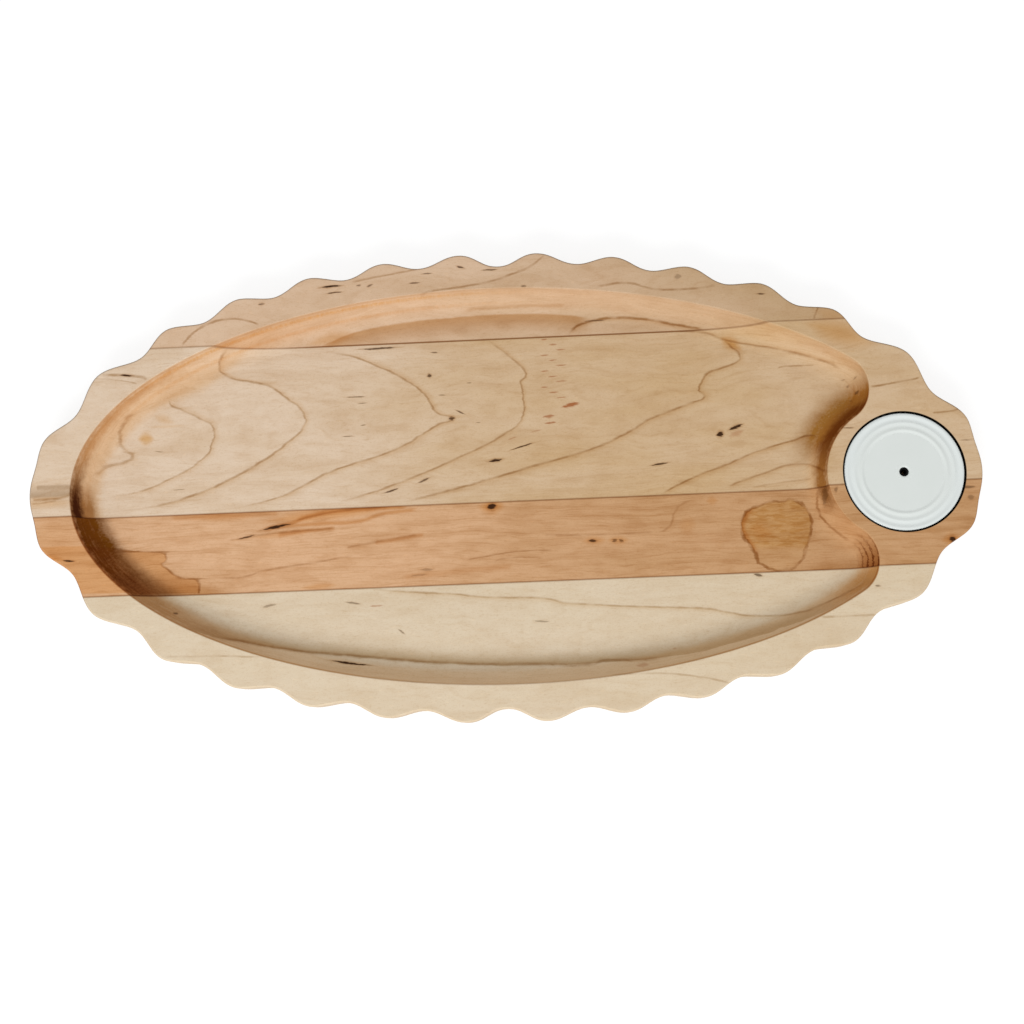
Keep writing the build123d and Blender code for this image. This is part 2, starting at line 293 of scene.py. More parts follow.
FRONT_DARK_MARKS = [
    Mark(-137, -66.5, 8, 1.6, 10, 0.4), Mark(-88, -66, 9, 1, -10, 0.5),
    Mark(-60, -83.5, 4.5, 0.9, -38, 0.5), Mark(20.5, -79.3, 8, 1.2, -6, 0.4),
    Mark(146, -55.9, 5, 1.5, -15, 0.7), Mark(-190, -69.7, 3, 1.3, -20, 0.6),
    Mark(-89, -100.7, 24, 1.1, -8, 1), Mark(211, -65, 3, 0.9, 0, 0.5),
]
FRONT_RED_MARKS = [
    Mark(-74, -68, 9, 1.3, 3, 0.5), Mark(96, -97, 3, 1.5, 0, 0.4), Mark(77, -106, 8, 3, 8, 0.4),
]

BACK_VEINS = [
    Vein("x", 0.5, 0.8, 0, [(-186, 86), (-182, 91), (-178, 95), (-170, 99), (-160, 101.5),
                            (-150, 101), (-141, 97.5)]),
    Vein("x", 0.4, 0.7, 0, [(-86, 121.5), (-70, 124.5), (-52, 127.5), (-42, 129.5), (-31, 135)]),
    Vein("x", 0.5, 0.8, 0, [(-46, 112.5), (-38, 115), (-20, 117), (-8, 118.8), (2, 121.5),
                            (20, 128.5), (29, 136)]),
    Vein("x", 0.5, 0.8, 0, [(57, 112.5), (64, 115.5), (73, 116.2), (85, 113.5), (97, 111.3),
                            (112, 111.5), (127, 113.5)]),
    Vein("x", 0.6, 1.0, -3, [(41, 89), (44, 93), (50, 96.3), (57, 98), (70, 98.8), (86, 97.3),
                             (100, 94.3), (120, 90)]),
    Vein("y", 0.4, 0.7, 0, [(183, 91), (184, 94), (185.5, 98)]),
]
BACK_STAINS = [
    Vein("x", 0.7, 1.0, -13, [(-108, 84), (-101, 88.5), (-88, 93), (-70, 97), (-50, 99.5),
                              (-20, 101.5), (10, 102), (35, 101), (55, 98)]),
    Vein("x", 1.6, 0.6, 0, [(-60, 95), (-30, 98), (5, 99), (40, 98)]),
    Vein("x", 0.8, 0.5, 0, [(-20, 105), (5, 107), (40, 106.5)]),
]
BACK_DARK_MARKS = [
    Mark(-98, 119.3, 12, 1.2, 4, 1), Mark(-96, 115.5, 10, 0.8, 3, 0.8),
    Mark(-139, 110, 4, 1.4, 0, 0.6), Mark(-82, 119.5, 3, 1, 0, 0.5),
    Mark(-75, 119.3, 3.5, 1.3, 20, 0.6), Mark(-49, 120, 6, 0.9, 0, 0.7),
    Mark(-42, 125.4, 6, 0.8, 3, 0.6), Mark(-22, 128.8, 5, 1.1, -15, 0.8),
    Mark(-5, 126.6, 9, 0.8, 3, 0.7), Mark(15, 116.2, 4, 1, 0, 0.6), Mark(153, 107, 5, 0.8, -4, 0.8),
    Mark(-193, 81, 12, 0.7, -6, 0.5), Mark(57, 97.5, 12, 1, 0, 0.6), Mark(105, 119, 4, 2.5, 0, 0.3),
]
BACK_TINTS = [Mark(195, 93, 24, 12, -15, 0.5), Mark(-100, 91, 30, 8, 12, 0.7)]

# A Soak is a stretch of the well's wall, or of the floor at its foot, painted darker: partly end grain
# where the cove cuts across the fibres and the oil goes in deep, partly painted shade where the wall
# faces away from the light.
# It begins to show at one distance in from the wall's line and is full at the next, and it grows from
# nothing to most between two places along an axis. The colour multiplies the wood's.
Soak = namedtuple("Soak", "wall begins full axis nothing most colour")
# light and deep are the palest and the deepest wood of the stave, and tone says how it changes from one
# to the other at five places along the board. end_grain is the tint of the stave's outer ends, streaks
# is how strong the fine grain is, stain is the tint of stains, and pith is the tree's centre, (y, z).
Stave = namedtuple(
    "Stave", "light deep tone end_grain soaks streaks stain pith veins stains dark red tints",
)
STAVES = {
    "wide_stave": Stave(
        light=paint(223, 201, 177), deep=paint(203, 172, 132), tone=(0.0, 0.1, 0.75, 0.85, 0.7),
        end_grain=(0.85, 0.80, 0.74, 1),
        soaks=[
            Soak("oval", 17, 10, "x", -110, -230, (0.92, 0.80, 0.66, 1)),
            Soak("oval", 5.5, 1.5, "y", 105, 25, (0.80, 0.64, 0.47, 1)),
            Soak("oval", 6, 2.5, "y", 28, -10, (0.18, 0.09, 0.01, 1)),
            Soak("oval", 14, 8, "y", 12, -9, (0.55, 0.40, 0.24, 1)),
            Soak("bulge", 8, 3, "y", -32, -4, (0.50, 0.32, 0.13, 1)),
            Soak("bulge", 25, 8, "y", 2, 26, (0.52, 0.32, 0.09, 1)),
        ],
        streaks=0.9, stain=(0.68, 0.62, 0.55, 1), pith=(42, -45),
        veins=WIDE_VEINS, stains=WIDE_STAINS,
        dark=WIDE_DARK_MARKS, red=WIDE_RED_MARKS, tints=WIDE_TINTS,
    ),
    "narrow_stave": Stave(
        light=paint(219, 177, 139), deep=paint(195, 152, 109), tone=(0.1, 0.1, 0.5, 0.8, 1.0),
        end_grain=(0.80, 0.66, 0.50, 1),
        soaks=[
            Soak("oval", 20, 10, "x", -130, -252, (0.23, 0.115, 0.0, 1)),
            Soak("bulge", 7, 2, "y", -25, -9, (0.50, 0.39, 0.24, 1)),
            Soak("oval", 34, 22, "y", -44, -57, (0.75, 0.62, 0.45, 1)),
        ],
        streaks=1.6, stain=(0.80, 0.60, 0.38, 1), pith=(-150, -60),
        veins=NARROW_VEINS, stains=NARROW_STAINS, dark=NARROW_DARK_MARKS, red=[], tints=NARROW_TINTS,
    ),
    "front_stave": Stave(
        light=paint(219, 202, 177), deep=paint(214, 195, 165), tone=(0.2, 0.2, 0.2, 0.5, 0.6),
        end_grain=(0.92, 0.86, 0.78, 1),
        soaks=[
            Soak("oval", 14, 5, "x", -110, -220, (0.68, 0.52, 0.36, 1)),
            Soak("oval", 14, 5, "x", 165, 210, (0.79, 0.56, 0.32, 1)),
        ],
        # The front stave's stain tint lays the painted shadow at the foot of its front wall.
        streaks=0.6, stain=(0.73, 0.64, 0.51, 1), pith=(-100, -90),
        veins=FRONT_VEINS, stains=FRONT_FOOT_SHADOW, dark=FRONT_DARK_MARKS, red=FRONT_RED_MARKS, tints=[],
    ),
    "back_stave": Stave(
        light=paint(217, 187, 158), deep=paint(189, 158, 120), tone=(0.0, 0.0, 0.2, 0.7, 1.0),
        end_grain=(0.85, 0.80, 0.74, 1),
        soaks=[Soak("oval", 16, 8, "x", -60, -200, (0.86, 0.72, 0.56, 1))],
        streaks=0.8, stain=(0.78, 0.62, 0.44, 1), pith=(105, -60),
        veins=BACK_VEINS, stains=BACK_STAINS, dark=BACK_DARK_MARKS, red=[], tints=BACK_TINTS,
    ),
}
SEAMS = {
    "wide_stave": (BACK_SEAM, MIDDLE_SEAM),
    "narrow_stave": (MIDDLE_SEAM, FRONT_SEAM),
    "front_stave": (FRONT_SEAM,),
    "back_stave": (BACK_SEAM,),
}

# Tints that multiply the wood's colour.
GRAIN = (0.85, 0.77, 0.67, 1)
PALE_FLECK = (1.07, 1.06, 1.04, 1)
KNOT = (0.88, 0.68, 0.42, 1)
BESIDE_LINE = (0.89, 0.80, 0.68, 1)
GROWTH_LINE = (0.58, 0.44, 0.29, 1)
MARK_HALO = (0.62, 0.42, 0.22, 1)
STEPPED_PATCH = (0.91, 0.77, 0.58, 1)
RING_INSIDE = (0.93, 0.88, 0.70, 1)
RING_STREAKS = (0.88, 0.78, 0.60, 1)
RING_LEFT_EDGE = (0.84, 0.62, 0.40, 1)
# Deeper colour of the well's slopes, and painted shade on the slopes that face away from the light.
WELL_SLOPE_AND_SHADE = (1.0, 0.89, 0.77, 1)
OUTER_SIDE = (0.86, 0.84, 0.84, 1)
CORNER_WOOD = (0.72, 0.58, 0.42, 1)
CORNER_RING = (0.40, 0.24, 0.10, 1)
GLUE = (0.34, 0.19, 0.08, 1)
# Painted shade on the outer rounded edges that face the back and the left, away from the light.
PAINTED_EDGE_SHADE = (0.42, 0.40, 0.40, 1)
FRONT_LIP = (0.80, 0.61, 0.43, 1)
BACK_LIP = (0.90, 0.81, 0.71, 1)
# The cutter's bands along the back wall: depth below the top, half height, and tint.
CUTTER_BANDS = ((3.6, 2.4, (0.94, 0.76, 0.50, 1)), (9.4, 1.2, (0.96, 0.84, 0.70, 1)))
CORNER_RING_PITCH = 2.4
# Colours that cover the wood's.
RED_MARK = paint(164, 104, 64)
MARK_CORE = paint(50, 25, 6)
# Near black on the disc pocket's wall: cutter burn, and painted shade of the narrow gap round the disc.
BURNT_AND_SHADED_WOOD = paint(12, 8, 5)


def curve_value(graph, position, values):
    """A smooth curve through (place, value) pairs, with places and values from 0 to 1."""
    node = graph.node("ShaderNodeFloatCurve", 1.0, position)
    curve = node.mapping.curves[0]
    curve.points[0].location = values[0]
    curve.points[1].location = values[-1]
    for place in values[1:-1]:
        curve.points.new(*place)
    node.mapping.update()
    return node.outputs[0]


def line_distance(graph, x, y, along, points):
    """Signed distance in millimetres from a smooth line through the points, and its run from 0 to 1."""
    run, offset = (x, y) if along == "x" else (y, x)
    pairs = sorted(point if along == "x" else point[::-1] for point in points)
    first, last = pairs[0][0], pairs[-1][0]
    low = min(pair[1] for pair in pairs)
    high = max(pair[1] for pair in pairs)
    share = graph.node("ShaderNodeMapRange", run, first, last, clamp=False).outputs[0]
    step = 0.01

    scaled = [((pair[0] - first) / (last - first), (pair[1] - low) / (high - low)) for pair in pairs]

    def height(position):
        return graph.calc("MULTIPLY_ADD", curve_value(graph, position, scaled), high - low, low)

    here = height(share)
    ahead = height(graph.calc("ADD", share, step))
    slope = graph.calc("DIVIDE", graph.calc("SUBTRACT", ahead, here), step * (last - first))
    length = graph.calc("SQRT", graph.calc("MULTIPLY_ADD", slope, slope, 1.0))
    return graph.calc("DIVIDE", graph.calc("SUBTRACT", offset, here), length), share


def vein_masks(graph, x, y, vein):
    """The thin dark line of a vein, and the soft tint at one side of it."""
    distance, share = line_distance(graph, x, y, vein.along, vein.points)
    ends = graph.calc("MULTIPLY", graph.fade(share, -0.01, 0.06), graph.fade(share, 1.01, 0.94))
    shown = graph.calc("MULTIPLY", ends, vein.strength)
    gone = vein.half_width * 1.6 + 0.3
    darkest = vein.half_width * 0.25
    core = graph.fade(graph.calc("ABSOLUTE", distance), gone, darkest)
    line = graph.calc("MULTIPLY", core, shown)
    if not vein.shade:
        return line, None
    side = graph.fade(distance, vein.shade, 0.0)
    beside = graph.fade(graph.calc("MULTIPLY", distance, math.copysign(1, vein.shade)), -0.5, 0.5)
    return line, graph.calc("MULTIPLY", graph.calc("MULTIPLY", side, beside), shown)


def mark_depth(graph, x, y, mark):
    """0 on the long axis of a pointed oval and 1 at its edge."""
    turn = math.radians(mark.tilt)

    def share(axis_x, axis_y, half):
        """How far a point is from the centre along an axis, as a share of the oval's half size."""
        offset = -(mark.x * axis_x + mark.y * axis_y) / half
        part = graph.calc("MULTIPLY_ADD", y, axis_y / half, offset)
        return graph.calc("MULTIPLY_ADD", x, axis_x / half, part)

    along = share(math.cos(turn), math.sin(turn), mark.length / 2)
    across = share(-math.sin(turn), math.cos(turn), mark.width / 2)
    return graph.calc("MULTIPLY_ADD", along, along, graph.calc("ABSOLUTE", across))


# A layer of a mark ends at one depth from its long axis and is full at the next; the share is how much
# of the colour it lays on.
Layer = namedtuple("Layer", "end full share colour mode")


class Wood(Graph):
    """The nodes of one stave's oiled maple: its colour so far, and the values that its layers share."""

    def __init__(self, node):
        super().__init__(bpy.data.materials.new("maple_" + node.split("_")[0] + "_oiled"))
        self.name = node
        self.stave = STAVES[node]
        self.point, normal = self.place()
        self.x, self.y, self.z = self.split(self.point)
        self.facing_x, self.facing_y, self.facing_z = self.split(normal)
        reach = (WELL_HALF_LENGTH + WELL_MARGIN, WELL_HALF_WIDTH + WELL_MARGIN, 1)
        from_middle = self.vector("DIVIDE", self.combine(self.x, self.y, 0.0), reach)
        within = self.fade(self.vector("LENGTH", from_middle), 1.03, 1.0)
        below_top = self.fade(self.z, BOARD_TOP - 0.1, BOARD_TOP - 0.8)
        self.in_well = self.calc("MULTIPLY", within, below_top)
        self.on_top = self.largest(self.in_well, self.fade(self.z, BOARD_TOP - 3, BOARD_TOP - 1.5))
        self.colour = self.broad_tone()
        self.streak = self.fine_grain()

    def clamp(self, value):
        return self.node("ShaderNodeClamp", value).outputs[0]

    def tint(self, masks, colour, mode="MULTIPLY"):
        """Lays a colour over the wood by the product of the masks."""
        mask = masks[0]
        for further in masks[1:]:
            mask = self.calc("MULTIPLY", mask, further)
        self.colour = self.blend(mask, self.colour, colour, mode)

    def broad_tone(self):
        """The wood's tone along the stave and in soft patches."""
        along = self.node("ShaderNodeMapRange", self.x, -WELL_HALF_LENGTH, WELL_HALF_LENGTH).outputs[0]
        tone = self.stave.tone
        stations = [(place / (len(tone) - 1), value) for place, value in enumerate(tone)]
        patch = self.noise(self.point, (70, 18, 25), 3.0)
        patch = self.calc("MULTIPLY_ADD", patch, 0.9, -0.45)
        tone = self.calc("ADD", curve_value(self, along, stations), patch)
        return self.blend(self.clamp(tone), self.stave.light, self.stave.deep)

    def fine_grain(self):
        """Rings about the pith drawn out along the stave, pores, flecks and mottling."""
        strength = self.stave.streaks
        from_pith = self.vector("SUBTRACT", self.combine(0.0, self.y, self.z), (0, *self.stave.pith))
        ring = self.vector("LENGTH", from_pith)
        ring = self.calc("MULTIPLY_ADD", self.noise(self.point, (60, 22, 25), 3.0), 9.0, ring)
        fibres = self.combine(self.x, ring, 0.0)
        streak = self.fade(self.noise(fibres, (16, 0.7, 1), 4.0), 0.46, 0.74)
        band = self.fade(self.noise(fibres, (110, 3.4, 1), 3.0), 0.45, 0.7)
        pore = self.fade(self.noise(self.point, (2.6, 0.7, 0.7), 3.0), 0.54, 0.72)
        speck = self.fade(self.noise(self.point, (0.9, 0.7, 0.7), 2.0), 0.5, 0.75)
        cloud = self.fade(self.noise(self.point, (17, 6, 8), 4.0), 0.42, 0.66)
        fleck = self.fade(self.noise(self.point, (3.5, 1.1, 1.1), 2.0), 0.58, 0.75)
        self.tint([fleck, 0.8], PALE_FLECK)
        self.tint([band, 0.4 * strength], GRAIN)
        self.tint([streak, 0.5 * strength], GRAIN)
        self.tint([cloud, 0.35 * strength], GRAIN)
        self.tint([pore, 0.4], GRAIN)
        self.tint([speck, 0.45], GRAIN)
        return streak

    def figure(self):
        """Growth lines, stains and marks. They wander a little, and stay on the top and in the well."""
        stave = self.stave
        wander = self.vector("DIVIDE", self.point, (16, 5, 11))
        wander = self.node("ShaderNodeTexNoise", wander, 0.0, 1.0, 5.0, 0.62).outputs["Color"]
        wander = self.vector("SUBTRACT", wander, (0.5, 0.5, 0.5))
        wander = self.vector("MULTIPLY", wander, (4.2, 1.6, 0))
        x, y, _ = self.split(self.vector("ADD", self.point, wander))
        self.ovals(x, y, stave.tints, None, (Layer(1.6, 0.0, 1.0, KNOT, "MULTIPLY"),))
        # Stains; on the front stave this layer is painted shadow along the foot of the front wall.
        stains, stain_shades = self.vein_layers(x, y, stave.stains)
        self.tint([self.largest(stains, stain_shades), self.on_top], stave.stain)
        lines, shades = self.vein_layers(x, y, stave.veins)
        self.tint([shades, self.on_top], BESIDE_LINE)
        if self.name == "narrow_stave":
            lines = self.largest(lines, self.stepped_patch(x, y))
            lines = self.largest(lines, self.ring_figure(x, y))
        broken = self.fade(self.noise(self.point, (9, 6, 9), 3.0), 0.28, 0.66)
        broken = self.clamp(self.calc("MULTIPLY", lines, self.calc("MULTIPLY_ADD", broken, 0.75, 0.3)))
        self.tint([broken, self.on_top], GROWTH_LINE)
        ragged = self.calc("MULTIPLY_ADD", self.noise(self.point, (3, 0.7, 3), 3.0), 1.6, -0.8)
        self.ovals(x, y, stave.red, ragged, (Layer(1.3, 0.3, 1.0, RED_MARK, "MIX"),))
        self.ovals(x, y, stave.dark, ragged, (
            Layer(2.6, 0.6, 0.55, MARK_HALO, "MULTIPLY"),
            Layer(1.3, 0.6, 0.97, MARK_CORE, "MIX"),
        ))

    def vein_layers(self, x, y, veins):
        """The thin lines of the veins, all in one mask, and the soft tints beside them in another."""
        lines = shades = None
        for vein in veins:
            line, shade = vein_masks(self, x, y, vein)
            lines = self.largest(lines, line)
            shades = self.largest(shades, shade)
        return lines, shades

    def ovals(self, x, y, marks, ragged, layers):
        """Lays the marks over the wood, in one or more layers each."""
        masks = [None] * len(layers)
        for mark in marks:
            depth = mark_depth(self, x, y, mark)
            if ragged is not None:
                depth = self.calc("ADD", depth, ragged)
            for place, layer in enumerate(layers):
                inside = self.fade(depth, layer.end, layer.full)
                shown = self.calc("MULTIPLY", inside, mark.strength * layer.share)
                masks[place] = self.largest(masks[place], shown)
        for mask, layer in zip(masks, layers):
            if mask is not None:
                self.tint([mask, self.on_top], layer.colour, layer.mode)

    def stepped_patch(self, x, y):
        """Tints the patch inside the stepped growth line, and returns the line."""
        distance, share = line_distance(self, x, y, "y", STEP_LINE)
        ends = self.calc("MULTIPLY", self.fade(share, -0.02, 0.01), self.fade(share, 1.05, 0.99))
        self.tint([self.fade(distance, 0.4, -0.6), ends, self.on_top], STEPPED_PATCH)
        return self.calc("MULTIPLY", self.fade(self.calc("ABSOLUTE", distance), 1.2, 0.2), ends)

    def ring_figure(self, x, y):
        """Tints the wood inside the closed growth line, and returns the line."""
        centre_x, centre_y = RING_CENTRE
        away_x = self.calc("SUBTRACT", x, centre_x)
        away_y = self.calc("SUBTRACT", y, centre_y)
        radius = self.vector("LENGTH", self.combine(away_x, away_y, 0.0))
        angle = self.calc("ARCTAN2", away_y, away_x)
        turn = self.calc("FRACT", self.calc("MULTIPLY_ADD", angle, 1 / math.tau, 1.0))
        largest = max(RING_RADII)
        closed = RING_RADII + RING_RADII[:1]
        values = [(step / len(RING_RADII), value / largest) for step, value in enumerate(closed)]
        jagged = self.calc("MULTIPLY_ADD", self.noise(self.point, (6, 9, 6), 5.0), 5.0, -2.5)
        line = self.calc("MULTIPLY", curve_value(self, turn, values), largest)
        gap = self.calc("ADD", self.calc("SUBTRACT", radius, line), jagged)
        inside = self.fade(gap, 0.5, -0.8)
        upper = self.fade(y, centre_y - 10, centre_y - 5)
        streaky = self.fade(self.noise(self.point, (6, 1.4, 4), 5.0), 0.42, 0.64)
        left = self.fade(x, centre_x - 10, centre_x - 17)
        self.tint([inside, self.calc("MULTIPLY_ADD", upper, 0.75, 0.25), self.on_top], RING_INSIDE)
        self.tint([inside, upper, streaky, self.on_top], RING_STREAKS)
        self.tint([self.fade(gap, -5.0, -0.5), inside, left, self.on_top], RING_LEFT_EDGE)
        return self.fade(self.calc("ABSOLUTE", gap), 1.4, 0.3)

    def slopes(self):
        """The slopes of the well are a little deeper in colour, with painted shade that is strongest
        where they face the back, away from the light, and least where they face the front.
        """
        turned = self.fade(self.facing_z, 0.985, 0.82)
        share = self.calc("MULTIPLY_ADD", self.fade(self.facing_y, -0.3, 0.2), 0.7, 0.3)
        self.tint([turned, self.in_well, share], WELL_SLOPE_AND_SHADE)

    def wall_insets(self):
        """How far in from the wall's line a point lies, from the well's oval and from the bulge."""
        spot = self.combine(self.x, self.y, 0.0)
        halves = (WELL_HALF_LENGTH, WELL_HALF_WIDTH, 1)
        squares = (WELL_HALF_LENGTH ** 2, WELL_HALF_WIDTH ** 2, 1)
        ratio = self.vector("LENGTH", self.vector("DIVIDE", spot, halves))
        steepness = self.vector("LENGTH", self.vector("DIVIDE", spot, squares))
        short = self.calc("MULTIPLY", self.calc("SUBTRACT", 1.0, ratio), ratio)
        oval = self.calc("DIVIDE", short, steepness)
        from_bulge = self.vector("LENGTH", self.vector("SUBTRACT", spot, (BULGE_X, 0, 0)))
        return {"oval": oval, "bulge": self.calc("SUBTRACT", from_bulge, BULGE_RADIUS)}

    def end_grain(self):
        """End grain takes the oil deepest: a little at the staves' ends, far more on the walls, which
        also get painted shade where they and the cove's foot face away from the light.
        """
        outside = self.calc("SUBTRACT", 1.0, self.in_well)
        endways = self.fade(self.calc("ABSOLUTE", self.facing_x), 0.3, 0.9)
        self.tint([endways, outside], self.stave.end_grain)
        self.tint([self.fade(self.facing_z, 0.9, 0.3), outside], OUTER_SIDE)
        insets = self.wall_insets()
        ragged = self.calc("MULTIPLY_ADD", self.noise(self.point, (3, 3, 3), 4.0), 3.0, -1.5)
        layered = self.calc("MULTIPLY_ADD", self.noise(self.point, (16, 16, 1.0), 4.0), 0.9, 0.62)
        speckled = self.calc("MULTIPLY_ADD", self.noise(self.point, (1.2, 1.2, 1.2), 2.0), 0.4, 0.8)
        rough = self.calc("MULTIPLY", layered, speckled)
        # Not in the disc's pocket, which lies inside the bulge.
        rough = self.calc("MULTIPLY", rough, self.fade(insets["bulge"], -3.0, -1.0))
        # Each stretch darkens the wall: partly oil in the end grain, partly painted shade away from the
        # light.
        for soak_shade in self.stave.soaks:
            inset = self.calc("ADD", insets[soak_shade.wall], ragged)
            place = self.x if soak_shade.axis == "x" else self.y
            below_lip = self.fade(inset, -1.5, 2.0)
            depth = self.calc("MULTIPLY", self.fade(inset, soak_shade.begins, soak_shade.full), below_lip)
            amount = self.calc("MULTIPLY", depth, self.fade(place, soak_shade.nothing, soak_shade.most))
            self.tint([self.clamp(self.calc("MULTIPLY", amount, rough)), self.in_well], soak_shade.colour)

    def cutter_marks(self):
        """The cutter's rough bands along the back wall, and the rings cut open in the front corner."""
        if self.name in ("wide_stave", "back_stave"):
            reach = self.calc("MULTIPLY", self.fade(self.x, -245, -190), self.fade(self.x, 60, -90))
            front = self.calc("MULTIPLY", self.fade(self.facing_y, -0.2, -0.5), self.in_well)
            teeth = self.fade(self.noise(self.point, (1.1, 5, 3), 3.0), 0.35, 0.65)
            toothed = self.calc("MULTIPLY_ADD", teeth, 0.5, 0.5)
            for depth, half, colour in CUTTER_BANDS:
                level = self.calc("ABSOLUTE", self.calc("ADD", self.z, depth - BOARD_TOP))
                self.tint([self.fade(level, half, 0.0), reach, front, toothed], colour)
        if self.name == "narrow_stave":
            centre_x, centre_y = CORNER_CENTRE
            offset = self.vector("SUBTRACT", self.point, (centre_x, -centre_y, 0))
            radius = self.vector("LENGTH", self.vector("MULTIPLY", offset, (1, 1, 0)))
            wavering = self.noise(self.point, (1.6, 1.6, 1.6), 4.0)
            wavering = self.calc("MULTIPLY", wavering, CORNER_RING_PITCH)
            wave = self.calc("ADD", radius, wavering)
            wave = self.calc("MULTIPLY", wave, math.tau / CORNER_RING_PITCH)
            rings = self.fade(self.calc("SINE", wave), 0.1, 1.0)
            outer = self.fade(radius, CORNER_RADIUS - 12, CORNER_RADIUS - 4)
            near_seam = self.fade(self.y, -30, -50)
            right = self.fade(self.x, 198, 205)
            turned = self.fade(self.facing_z, 0.99, 0.9)
            corner = self.calc("MULTIPLY", outer, near_seam)
            reach = self.calc("MULTIPLY", corner, self.calc("MULTIPLY", right, turned))
            self.tint([reach, self.in_well], CORNER_WOOD)
            self.tint([rings, reach, self.in_well], CORNER_RING)

    def glue_lines(self):
        """The thin dark glue lines, boldest where the back stave's line crosses the well."""
        level = self.calc("MULTIPLY_ADD", self.x, -SEAM_SLOPE, self.y)
        middle = self.fade(self.calc("ABSOLUTE", self.x), 135, 105)
        for seam in SEAMS[self.name]:
            bold = self.calc("MULTIPLY_ADD", middle, 0.4, 0.5) if seam == BACK_SEAM else 0.65
            away = self.calc("ABSOLUTE", self.calc("SUBTRACT", level, seam))
            self.tint([self.fade(away, 0.8, 0.15), bold], GLUE)

    def edges(self):
        """The edges: painted shade on the outer rounded edges that face the back and the left, away
        from the light; tawny on the well's lips; near black in the pocket, as cutter burn and painted
        shade of the gap round the disc.
        """
        turned = self.fade(self.facing_z, 0.99, 0.8)
        rounded = self.calc("MULTIPLY", turned, self.fade(self.z, BOARD_TOP - 2.5, BOARD_TOP - 1.0))
        inset = self.wall_insets()["oval"]
        away = self.calc("MULTIPLY_ADD", self.facing_x, -0.7, self.facing_y)
        outside = self.fade(inset, -4.0, -8.0)
        # Painted shade on the outer rounded edges that face away from the light.
        self.tint([rounded, outside, self.fade(away, 0.0, 0.35), 0.75], PAINTED_EDGE_SHADE)
        at_lip = self.fade(inset, -4.0, -1.0)
        lip = self.calc("MULTIPLY", at_lip, self.fade(self.facing_y, 0.0, 0.3))
        ends = self.calc("MULTIPLY_ADD", self.fade(self.calc("ABSOLUTE", self.x), 20, 120), 0.7, 0.3)
        self.tint([rounded, lip, ends], FRONT_LIP)
        back_lip = self.calc("MULTIPLY", at_lip, self.fade(self.facing_y, -0.1, -0.4))
        self.tint([rounded, back_lip, self.fade(self.x, 60, -90)], BACK_LIP)
        if self.name in ("wide_stave", "narrow_stave"):
            off_centre = self.combine(self.calc("SUBTRACT", self.x, DISC_X), self.y, 0.0)
            from_disc = self.vector("LENGTH", off_centre)
            wall = DISC_RADIUS + POCKET_CLEARANCE
            far_out = self.fade(from_disc, wall - 4, wall - 2)
            burnt_and_shaded = self.calc("MULTIPLY", far_out, self.fade(from_disc, wall + 0.3, wall + 0.1))
            # The pocket's wall and the floor's edge painted near black: cutter burn and painted shade
            # of the gap round the disc.
            self.tint([burnt_and_shaded, self.fade(self.z, 0.5, 1.0)], BURNT_AND_SHADED_WOOD, "MIX")

    def finish(self):
        self.surface(self.colour, self.calc("MULTIPLY_ADD", self.streak, 0.12, 0.58))
        self.shader.inputs["Specular IOR Level"].default_value = 0.08
        self.bumps(self.streak, strength=0.35, depth=0.06)
        return self.owner


def maple(node):
    """The material of one stave, laid on layer by layer."""
    wood = Wood(node)
    wood.figure()
    wood.slopes()
    wood.end_grain()
    wood.cutter_marks()
    wood.glue_lines()
    wood.edges()
    return wood.finish()


# ---------------------------------------------------------------- ceramic and rubber
def glazed_ceramic():
    graph = Graph(bpy.data.materials.new("glazed_ceramic"))
    point, _ = graph.place()
    cloud = graph.noise(point, (14, 14, 14), 3.0)
    body = graph.blend(cloud, paint(214, 220, 216), paint(220, 225, 222))
    centred = graph.vector("MULTIPLY", graph.vector("SUBTRACT", point, (DISC_X, 0, 0)), (1, 1, 0))
    radius = graph.vector("LENGTH", centred)
    rim = graph.fade(radius, DISC_RADIUS * 0.72, DISC_RADIUS * 0.95)
    body = graph.blend(rim, body, paint(219, 225, 223))
    graph.surface(body, graph.calc("MULTIPLY_ADD", cloud, 0.1, 0.25))
    graph.shader.inputs["Coat Weight"].default_value = 0.4
    graph.shader.inputs["Coat Roughness"].default_value = 0.12
    graph.bumps(cloud, strength=0.15, depth=0.1)
    return graph.owner


def grip_rubber():
    graph = Graph(bpy.data.materials.new("grip_rubber_black"))
    point, _ = graph.place()
    dust = graph.noise(point, (0.4, 0.4, 0.4), 3.0)
    black = graph.blend(dust, paint(3, 3, 3), paint(12, 12, 12))
    graph.surface(black, graph.calc("MULTIPLY_ADD", dust, 0.2, 0.6))
    graph.shader.inputs["Specular IOR Level"].default_value = 0.1
    return graph.owner


# ---------------------------------------------------------------- studio
CAMERA_AIM = Vector((5.25 * MM, -17.4 * MM, BOARD_TOP * MM))
CAMERA_DISTANCE = 829 * MM
CAMERA_ELEVATION = math.radians(81.385)
CAMERA_AZIMUTH = math.radians(9.29)      # from -Y toward +X
CAMERA_ROLL = math.radians(-10.728)
CAMERA_LENS_MM = 50.95
CAMERA_SENSOR_MM = 36.0

FLOOR_HALF_SIZE = 3.0
FLOOR_GREY = 0.8         # for the light that falls on the object
FLOOR_SEEN_GREY = 0.3    # for the camera: this much takes the shadow, and the glow does the rest
FLOOR_GLOW = 0.78
SKY_STRENGTH = 0.66
SOFTBOX_PLACE = Vector((-0.25, -1.5, 1.15))
SOFTBOX_SIZE = (1.3, 0.8)
SOFTBOX_WATTS = 22


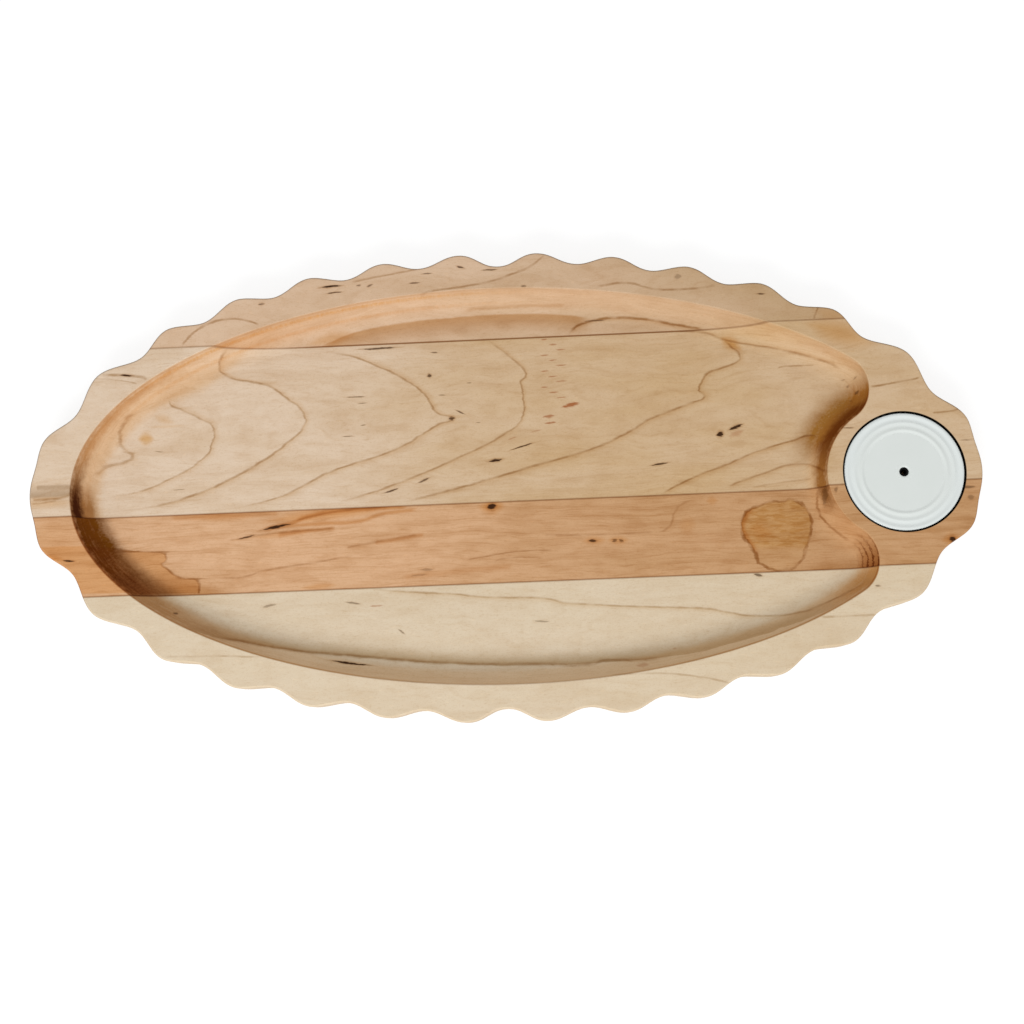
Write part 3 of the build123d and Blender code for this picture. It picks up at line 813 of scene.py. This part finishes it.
def make_camera():
    """Looks down on the board's middle, turned a little about its own line of sight."""
    back = Vector((
        math.sin(CAMERA_AZIMUTH) * math.cos(CAMERA_ELEVATION),
        -math.cos(CAMERA_AZIMUTH) * math.cos(CAMERA_ELEVATION),
        math.sin(CAMERA_ELEVATION),
    ))
    right = Vector((0, 0, 1)).cross(back).normalized()
    up = back.cross(right)
    turn = Matrix.Rotation(CAMERA_ROLL, 3, back)
    axes = Matrix((turn @ right, turn @ up, back)).transposed()
    data = bpy.data.cameras.new("camera")
    data.lens = CAMERA_LENS_MM
    data.sensor_width = CAMERA_SENSOR_MM
    camera = bpy.data.objects.new("camera", data)
    camera.matrix_world = Matrix.Translation(CAMERA_AIM + back * CAMERA_DISTANCE) @ axes.to_4x4()
    scene.collection.objects.link(camera)
    scene.camera = camera


def white_rays(graph):
    """1 for the rays that see the studio as plain white, and 0 for the rays that light the object."""
    path = graph.node("ShaderNodeLightPath")
    kinds = ("Is Camera Ray", "Is Glossy Ray", "Is Transmission Ray")
    return graph.largest(*(path.outputs[kind] for kind in kinds))


def make_floor():
    """A pale floor that looks white to the camera and still takes the board's soft shadow."""
    reach = FLOOR_HALF_SIZE
    corners = [(-reach, -reach, 0), (reach, -reach, 0), (reach, reach, 0), (-reach, reach, 0)]
    mesh = bpy.data.meshes.new("floor")
    mesh.from_pydata(corners, [], [(0, 1, 2, 3)])
    floor = bpy.data.objects.new("floor", mesh)
    scene.collection.objects.link(floor)
    graph = Graph(bpy.data.materials.new("floor_white"))
    tree = graph.tree
    tree.nodes.remove(graph.shader)
    seen = white_rays(graph)
    plain = graph.node("ShaderNodeBsdfDiffuse", (FLOOR_GREY,) * 3 + (1,)).outputs[0]
    soft = graph.node("ShaderNodeBsdfDiffuse", (FLOOR_SEEN_GREY,) * 3 + (1,)).outputs[0]
    glow = graph.node("ShaderNodeEmission", (1, 1, 1, 1), FLOOR_GLOW).outputs[0]
    shown = graph.node("ShaderNodeAddShader", soft, glow).outputs[0]
    mixed = graph.node("ShaderNodeMixShader", seen, plain, shown).outputs[0]
    tree.links.new(mixed, tree.nodes["Material Output"].inputs["Surface"])
    mesh.materials.append(graph.owner)


def make_lights():
    """An even sky and one large soft box in front of the board and above it."""
    graph = Graph(bpy.data.worlds.new("studio"))
    sky = graph.tree.nodes["Background"].inputs
    sky["Color"].default_value = (1, 1, 1, 1)
    seen = white_rays(graph)
    graph.feed(sky["Strength"], graph.calc("MULTIPLY_ADD", seen, 1 - SKY_STRENGTH, SKY_STRENGTH))
    scene.world = graph.owner
    light = bpy.data.lights.new("softbox", "AREA")
    light.shape = "RECTANGLE"
    light.size, light.size_y = SOFTBOX_SIZE
    light.energy = SOFTBOX_WATTS
    lamp = bpy.data.objects.new("softbox", light)
    lamp.location = SOFTBOX_PLACE
    lamp.rotation_euler = (-SOFTBOX_PLACE).to_track_quat("-Z", "Y").to_euler()
    scene.collection.objects.link(lamp)


def dress(node, material):
    """Gives a CAD node its material."""
    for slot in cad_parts[node].material_slots:
        slot.material = material


for stave_node in STAVES:
    dress(stave_node, maple(stave_node))
dress("ceramic_disc", glazed_ceramic())
dress("peg_grip", grip_rubber())
make_camera()
make_floor()
make_lights()
scene.view_settings.view_transform = "Standard"
